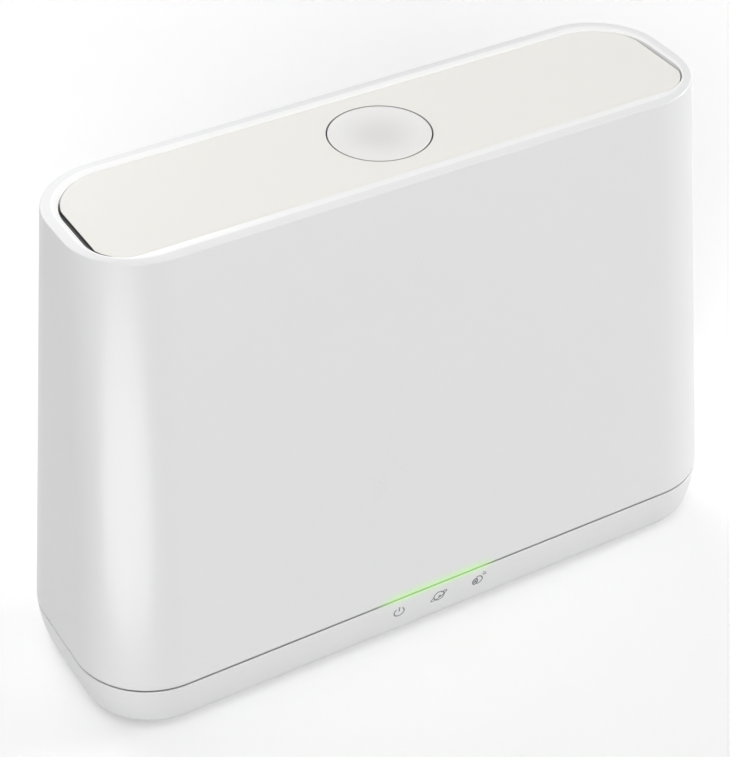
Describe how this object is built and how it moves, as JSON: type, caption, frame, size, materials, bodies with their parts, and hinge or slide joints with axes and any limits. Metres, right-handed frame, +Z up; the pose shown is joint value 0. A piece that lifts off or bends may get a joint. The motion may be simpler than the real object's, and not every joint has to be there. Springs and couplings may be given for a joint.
{
  "type": "security camera base station",
  "caption": "Flared upright hub that links wireless cameras to a network, with a round push button on top, a light seam above its foot and rear sockets.",
  "frame": {"origin": "middle of the footprint, on the plane that the feet stand on", "axes": "+X to the right along the width, +Y from the front to the rear sockets, +Z up"},
  "size_m": [0.175, 0.0584, 0.1255],
  "materials": {
    "shell_white": "fine satin gloss",
    "panel_white": "satin, slightly warm",
    "button_white": "satin gloss",
    "tray_white": "fine satin gloss",
    "light_guide": "clear, lit green from inside",
    "led_lens": "clear",
    "foot_rubber": "matte",
    "screw_steel": "zinc plated",
    "sheet_steel": "tin plated",
    "circuit_board": "solder mask",
    "black_plastic": "matte",
    "port_plastic": "satin",
    "key_plastic": "satin",
    "contact_gold": "gold plated",
    "soft_pad": "soft",
    "black_aluminium": "anodised",
    "can_aluminium": "sleeve and can",
    "header_plastic": "natural"
  },
  "bodies": {
    "hub": {"upper_shell": "shell_white", "top_panel": "panel_white", "sync_switch": "black_plastic", "sync_board": "circuit_board", "sync_screws": "screw_steel", "base_tray": "tray_white", "light_bar": "light_guide", "rubber_feet": "foot_rubber", "base_screws": "screw_steel", "main_board": "circuit_board", "board_screws": "screw_steel", "status_lights": "led_lens", "port_panel": "port_plastic", "power_switch": "black_plastic", "reset_switch": "black_plastic", "network_shield": "sheet_steel", "network_insert": "black_plastic", "network_contacts": "contact_gold", "usb_shells": "sheet_steel", "usb_tongues": "black_plastic", "usb_contacts": "contact_gold", "inlet_body": "black_plastic", "inlet_pin": "sheet_steel", "processor": "black_plastic", "thermal_pad": "soft_pad", "heat_sink": "black_aluminium", "radio_cans": "sheet_steel", "line_transformer": "black_plastic", "capacitors": "can_aluminium", "coils": "black_plastic", "wire_headers": "header_plastic", "siren_case": "black_plastic", "siren_disc": "contact_gold", "siren_cap": "black_plastic", "siren_screws": "screw_steel", "antennas": "circuit_board"},
    "sync": {"sync_button": "button_white", "sync_plunger": "black_plastic"},
    "power": {"power_button": "key_plastic"},
    "reset": {"reset_plunger": "key_plastic"}
  },
  "joints": [
    {"name": "sync_press", "type": "slide", "parent": "hub", "child": "sync", "axis": [0, 0, -1], "range_m": [0, 0.0008], "stiffness_N_per_m": 2500},
    {"name": "power_press", "type": "slide", "parent": "hub", "child": "power", "axis": [0, -1, 0], "range_m": [0, 0.002], "stiffness_N_per_m": 1200},
    {"name": "reset_press", "type": "slide", "parent": "hub", "child": "reset", "axis": [0, -1, 0], "range_m": [0, 0.0003], "stiffness_N_per_m": 5000}
  ]
}
